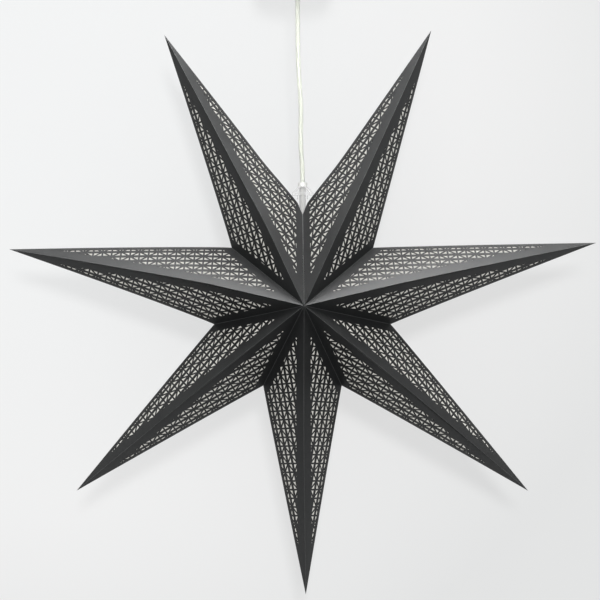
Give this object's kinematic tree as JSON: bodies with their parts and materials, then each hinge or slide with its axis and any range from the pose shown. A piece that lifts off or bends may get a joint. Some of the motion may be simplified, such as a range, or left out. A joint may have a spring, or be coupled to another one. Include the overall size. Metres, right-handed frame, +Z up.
{
  "type": "paper star pendant lamp",
  "caption": "Folded paper star lampshade with pierced card panels over a translucent liner, hung by a flex with a hanger, lampholder, bulb and ceiling fitting.",
  "frame": {"origin": "centre of the ceiling plate's upper face, where the fitting meets the ceiling", "axes": "+Z up, the star's front peak towards -Y, +X to the right seen from the front"},
  "size_m": [0.5802, 0.1688, 0.6725],
  "materials": {
    "black_card": "matt dyed card",
    "white_plastic": "satin moulded",
    "stop_plastic": "satin moulded",
    "holder_plastic": "satin moulded",
    "natural_plastic": "natural nylon",
    "clear_plastic": "clear moulded",
    "clear_flex": "clear jacket over white cores",
    "zinc_screw": "zinc plated",
    "ceramic_insert": "glazed",
    "brass_shell": "bare brass",
    "bulb_metal": "nickel plated",
    "opal_glass": "opal"
  },
  "bodies": {
    "ceiling_fitting": {"ceiling_plate": "white_plastic", "terminal_block": "natural_plastic", "cord_anchor": "white_plastic", "anchor_screws": "zinc_screw", "pendant_cord": "clear_flex"},
    "ceiling_cover": {"ceiling_cup": "white_plastic", "cup_bush": "white_plastic"},
    "hanging_lamp": {"cord_stop": "stop_plastic", "stop_screw": "zinc_screw", "seam_hanger": "clear_plastic", "lamp_cord": "clear_flex", "lampholder_cap": "holder_plastic", "lampholder_body": "holder_plastic", "lampholder_insert": "ceramic_insert", "lampholder_screw_shell": "brass_shell", "lampholder_mouth": "holder_plastic", "shade_ring": "holder_plastic", "bulb_globe": "opal_glass", "bulb_cap": "bulb_metal", "bulb_contact": "bulb_metal"},
    "bottom_point_front_right": {"bottom_point_front_right": "black_card"},
    "bottom_point_back_right": {"bottom_point_back_right": "black_card"},
    "lower_right_point_front_lower": {"lower_right_point_front_lower": "black_card"},
    "lower_right_point_back_lower": {"lower_right_point_back_lower": "black_card"},
    "lower_right_point_front_upper": {"lower_right_point_front_upper": "black_card"},
    "lower_right_point_back_upper": {"lower_right_point_back_upper": "black_card"},
    "right_point_front_lower": {"right_point_front_lower": "black_card"},
    "right_point_back_lower": {"right_point_back_lower": "black_card"},
    "right_point_front_upper": {"right_point_front_upper": "black_card"},
    "right_point_back_upper": {"right_point_back_upper": "black_card"},
    "upper_right_point_front_lower": {"upper_right_point_front_lower": "black_card"},
    "upper_right_point_back_lower": {"upper_right_point_back_lower": "black_card"},
    "upper_right_point_front_upper": {"upper_right_point_front_upper": "black_card"},
    "upper_right_point_back_upper": {"upper_right_point_back_upper": "black_card"},
    "bottom_point_front_left": {"bottom_point_front_left": "black_card"},
    "bottom_point_back_left": {"bottom_point_back_left": "black_card"},
    "lower_left_point_front_lower": {"lower_left_point_front_lower": "black_card"},
    "lower_left_point_back_lower": {"lower_left_point_back_lower": "black_card"},
    "lower_left_point_front_upper": {"lower_left_point_front_upper": "black_card"},
    "lower_left_point_back_upper": {"lower_left_point_back_upper": "black_card"},
    "left_point_front_lower": {"left_point_front_lower": "black_card"},
    "left_point_back_lower": {"left_point_back_lower": "black_card"},
    "left_point_front_upper": {"left_point_front_upper": "black_card"},
    "left_point_back_upper": {"left_point_back_upper": "black_card"},
    "upper_left_point_front_lower": {"upper_left_point_front_lower": "black_card"},
    "upper_left_point_back_lower": {"upper_left_point_back_lower": "black_card"},
    "upper_left_point_front_upper": {"upper_left_point_front_upper": "black_card"},
    "upper_left_point_back_upper": {"upper_left_point_back_upper": "black_card"}
  },
  "joints": [
    {"name": "cover_slide", "type": "slide", "parent": "ceiling_fitting", "child": "ceiling_cover", "axis": [0, 0, -1], "range_m": [0, 0.04]},
    {"name": "star_turn", "type": "hinge", "parent": "ceiling_fitting", "child": "hanging_lamp", "pos_m": [0.005, 0, -0.2509], "axis": [0, 0, 1], "range_deg": [-180, 180]},
    {"name": "star_fold", "type": "hinge", "parent": "hanging_lamp", "child": "bottom_point_front_right", "pos_m": [0.005, -0.08531, -0.3748], "axis": [0, -0.2756, 0.9613], "range_deg": [0, 32.41]},
    {"name": "bottom_right_side_fold", "type": "hinge", "parent": "bottom_point_front_right", "child": "bottom_point_back_right", "pos_m": [0.005, 0, -0.675], "axis": [-0.1821, 0, -0.9833], "range_deg": [0, 62.33]},
    {"name": "lower_right_valley_fold", "type": "hinge", "parent": "bottom_point_front_right", "child": "lower_right_point_front_lower", "pos_m": [0.005, -0.086, -0.375], "axis": [0.3178, 0.6809, -0.6598], "range_deg": [0, 90.11]},
    {"name": "lower_right_lower_side_fold", "type": "hinge", "parent": "lower_right_point_front_lower", "child": "lower_right_point_back_lower", "pos_m": [0.23955, 0, -0.56205], "axis": [-0.8823, 0, 0.4707], "range_deg": [0, 62.33]},
    {"name": "lower_right_ridge_fold", "type": "hinge", "parent": "lower_right_point_front_lower", "child": "lower_right_point_front_upper", "pos_m": [0.00485, -0.08531, -0.37488], "axis": [-0.7516, -0.2756, 0.5993], "range_deg": [0, 64.82]},
    {"name": "lower_right_upper_side_fold", "type": "hinge", "parent": "lower_right_point_front_upper", "child": "lower_right_point_back_upper", "pos_m": [0.23955, 0, -0.56205], "axis": [0.6552, 0, -0.7555], "range_deg": [0, 62.33]},
    {"name": "right_valley_fold", "type": "hinge", "parent": "lower_right_point_front_upper", "child": "right_point_front_lower", "pos_m": [0.005, -0.086, -0.375], "axis": [0.714, 0.6809, -0.163], "range_deg": [0, 90.11]},
    {"name": "right_lower_side_fold", "type": "hinge", "parent": "right_point_front_lower", "child": "right_point_back_lower", "pos_m": [0.29748, 0, -0.30824], "axis": [-0.9181, 0, -0.3964], "range_deg": [0, 62.33]},
    {"name": "right_ridge_fold", "type": "hinge", "parent": "right_point_front_lower", "child": "right_point_front_upper", "pos_m": [0.00481, -0.08531, -0.37504], "axis": [-0.9372, -0.2756, -0.2139], "range_deg": [0, 64.82]},
    {"name": "right_upper_side_fold", "type": "hinge", "parent": "right_point_front_upper", "child": "right_point_back_upper", "pos_m": [0.29748, 0, -0.30824], "axis": [0.9991, 0, 0.0412], "range_deg": [0, 62.33]},
    {"name": "upper_right_valley_fold", "type": "hinge", "parent": "right_point_front_upper", "child": "upper_right_point_front_lower", "pos_m": [0.005, -0.086, -0.375], "axis": [0.5726, 0.6809, 0.4566], "range_deg": [0, 90.11]},
    {"name": "upper_right_lower_side_fold", "type": "hinge", "parent": "upper_right_point_front_lower", "child": "upper_right_point_back_lower", "pos_m": [0.13517, 0, -0.10471], "axis": [-0.2625, 0, -0.9649], "range_deg": [0, 62.33]},
    {"name": "upper_right_ridge_fold", "type": "hinge", "parent": "upper_right_point_front_lower", "child": "upper_right_point_front_upper", "pos_m": [0.00491, -0.08531, -0.37518], "axis": [-0.4171, -0.2756, -0.8661], "range_deg": [0, 64.82]},
    {"name": "upper_right_upper_side_fold", "type": "hinge", "parent": "upper_right_point_front_upper", "child": "upper_right_point_back_upper", "pos_m": [0.13517, 0, -0.10471], "axis": [0.5907, 0, 0.8069], "range_deg": [0, 62.33]},
    {"name": "bottom_left_ridge_fold", "type": "hinge", "parent": "hanging_lamp", "child": "bottom_point_front_left", "pos_m": [0.005, -0.08531, -0.3748], "axis": [0, 0.2756, -0.9613], "range_deg": [0, 32.41]},
    {"name": "bottom_left_side_fold", "type": "hinge", "parent": "bottom_point_front_left", "child": "bottom_point_back_left", "pos_m": [0.005, 0, -0.675], "axis": [-0.1821, 0, 0.9833], "range_deg": [0, 62.33]},
    {"name": "lower_left_valley_fold", "type": "hinge", "parent": "bottom_point_front_left", "child": "lower_left_point_front_lower", "pos_m": [0.005, -0.086, -0.375], "axis": [0.3178, -0.6809, 0.6598], "range_deg": [0, 90.11]},
    {"name": "lower_left_lower_side_fold", "type": "hinge", "parent": "lower_left_point_front_lower", "child": "lower_left_point_back_lower", "pos_m": [-0.22955, 0, -0.56205], "axis": [-0.8823, 0, -0.4707], "range_deg": [0, 62.33]},
    {"name": "lower_left_ridge_fold", "type": "hinge", "parent": "lower_left_point_front_lower", "child": "lower_left_point_front_upper", "pos_m": [0.00515, -0.08531, -0.37488], "axis": [-0.7516, 0.2756, -0.5993], "range_deg": [0, 64.82]},
    {"name": "lower_left_upper_side_fold", "type": "hinge", "parent": "lower_left_point_front_upper", "child": "lower_left_point_back_upper", "pos_m": [-0.22955, 0, -0.56205], "axis": [0.6552, 0, 0.7555], "range_deg": [0, 62.33]},
    {"name": "left_valley_fold", "type": "hinge", "parent": "lower_left_point_front_upper", "child": "left_point_front_lower", "pos_m": [0.005, -0.086, -0.375], "axis": [0.714, -0.6809, 0.163], "range_deg": [0, 90.11]},
    {"name": "left_lower_side_fold", "type": "hinge", "parent": "left_point_front_lower", "child": "left_point_back_lower", "pos_m": [-0.28748, 0, -0.30824], "axis": [-0.9181, 0, 0.3964], "range_deg": [0, 62.33]},
    {"name": "left_ridge_fold", "type": "hinge", "parent": "left_point_front_lower", "child": "left_point_front_upper", "pos_m": [0.00519, -0.08531, -0.37504], "axis": [-0.9372, 0.2756, 0.2139], "range_deg": [0, 64.82]},
    {"name": "left_upper_side_fold", "type": "hinge", "parent": "left_point_front_upper", "child": "left_point_back_upper", "pos_m": [-0.28748, 0, -0.30824], "axis": [0.9991, 0, -0.0412], "range_deg": [0, 62.33]},
    {"name": "upper_left_valley_fold", "type": "hinge", "parent": "left_point_front_upper", "child": "upper_left_point_front_lower", "pos_m": [0.005, -0.086, -0.375], "axis": [0.5726, -0.6809, -0.4566], "range_deg": [0, 90.11]},
    {"name": "upper_left_lower_side_fold", "type": "hinge", "parent": "upper_left_point_front_lower", "child": "upper_left_point_back_lower", "pos_m": [-0.12517, 0, -0.10471], "axis": [-0.2625, 0, 0.9649], "range_deg": [0, 62.33]},
    {"name": "upper_left_ridge_fold", "type": "hinge", "parent": "upper_left_point_front_lower", "child": "upper_left_point_front_upper", "pos_m": [0.00509, -0.08531, -0.37518], "axis": [-0.4171, 0.2756, 0.8661], "range_deg": [0, 64.82]},
    {"name": "upper_left_upper_side_fold", "type": "hinge", "parent": "upper_left_point_front_upper", "child": "upper_left_point_back_upper", "pos_m": [-0.12517, 0, -0.10471], "axis": [0.5907, 0, -0.8069], "range_deg": [0, 62.33]}
  ],
  "couplings": [
    {"joint": "bottom_right_side_fold", "follows": "star_fold", "ratio": 1.9231},
    {"joint": "lower_right_valley_fold", "follows": "star_fold", "ratio": 2.7802},
    {"joint": "lower_right_lower_side_fold", "follows": "star_fold", "ratio": 1.9231},
    {"joint": "lower_right_ridge_fold", "follows": "star_fold", "ratio": 2},
    {"joint": "lower_right_upper_side_fold", "follows": "star_fold", "ratio": 1.9231},
    {"joint": "right_valley_fold", "follows": "star_fold", "ratio": 2.7802},
    {"joint": "right_lower_side_fold", "follows": "star_fold", "ratio": 1.9231},
    {"joint": "right_ridge_fold", "follows": "star_fold", "ratio": 2},
    {"joint": "right_upper_side_fold", "follows": "star_fold", "ratio": 1.9231},
    {"joint": "upper_right_valley_fold", "follows": "star_fold", "ratio": 2.7802},
    {"joint": "upper_right_lower_side_fold", "follows": "star_fold", "ratio": 1.9231},
    {"joint": "upper_right_ridge_fold", "follows": "star_fold", "ratio": 2},
    {"joint": "upper_right_upper_side_fold", "follows": "star_fold", "ratio": 1.9231},
    {"joint": "bottom_left_ridge_fold", "follows": "star_fold", "ratio": 1},
    {"joint": "bottom_left_side_fold", "follows": "star_fold", "ratio": 1.9231},
    {"joint": "lower_left_valley_fold", "follows": "star_fold", "ratio": 2.7802},
    {"joint": "lower_left_lower_side_fold", "follows": "star_fold", "ratio": 1.9231},
    {"joint": "lower_left_ridge_fold", "follows": "star_fold", "ratio": 2},
    {"joint": "lower_left_upper_side_fold", "follows": "star_fold", "ratio": 1.9231},
    {"joint": "left_valley_fold", "follows": "star_fold", "ratio": 2.7802},
    {"joint": "left_lower_side_fold", "follows": "star_fold", "ratio": 1.9231},
    {"joint": "left_ridge_fold", "follows": "star_fold", "ratio": 2},
    {"joint": "left_upper_side_fold", "follows": "star_fold", "ratio": 1.9231},
    {"joint": "upper_left_valley_fold", "follows": "star_fold", "ratio": 2.7802},
    {"joint": "upper_left_lower_side_fold", "follows": "star_fold", "ratio": 1.9231},
    {"joint": "upper_left_ridge_fold", "follows": "star_fold", "ratio": 2},
    {"joint": "upper_left_upper_side_fold", "follows": "star_fold", "ratio": 1.9231}
  ]
}
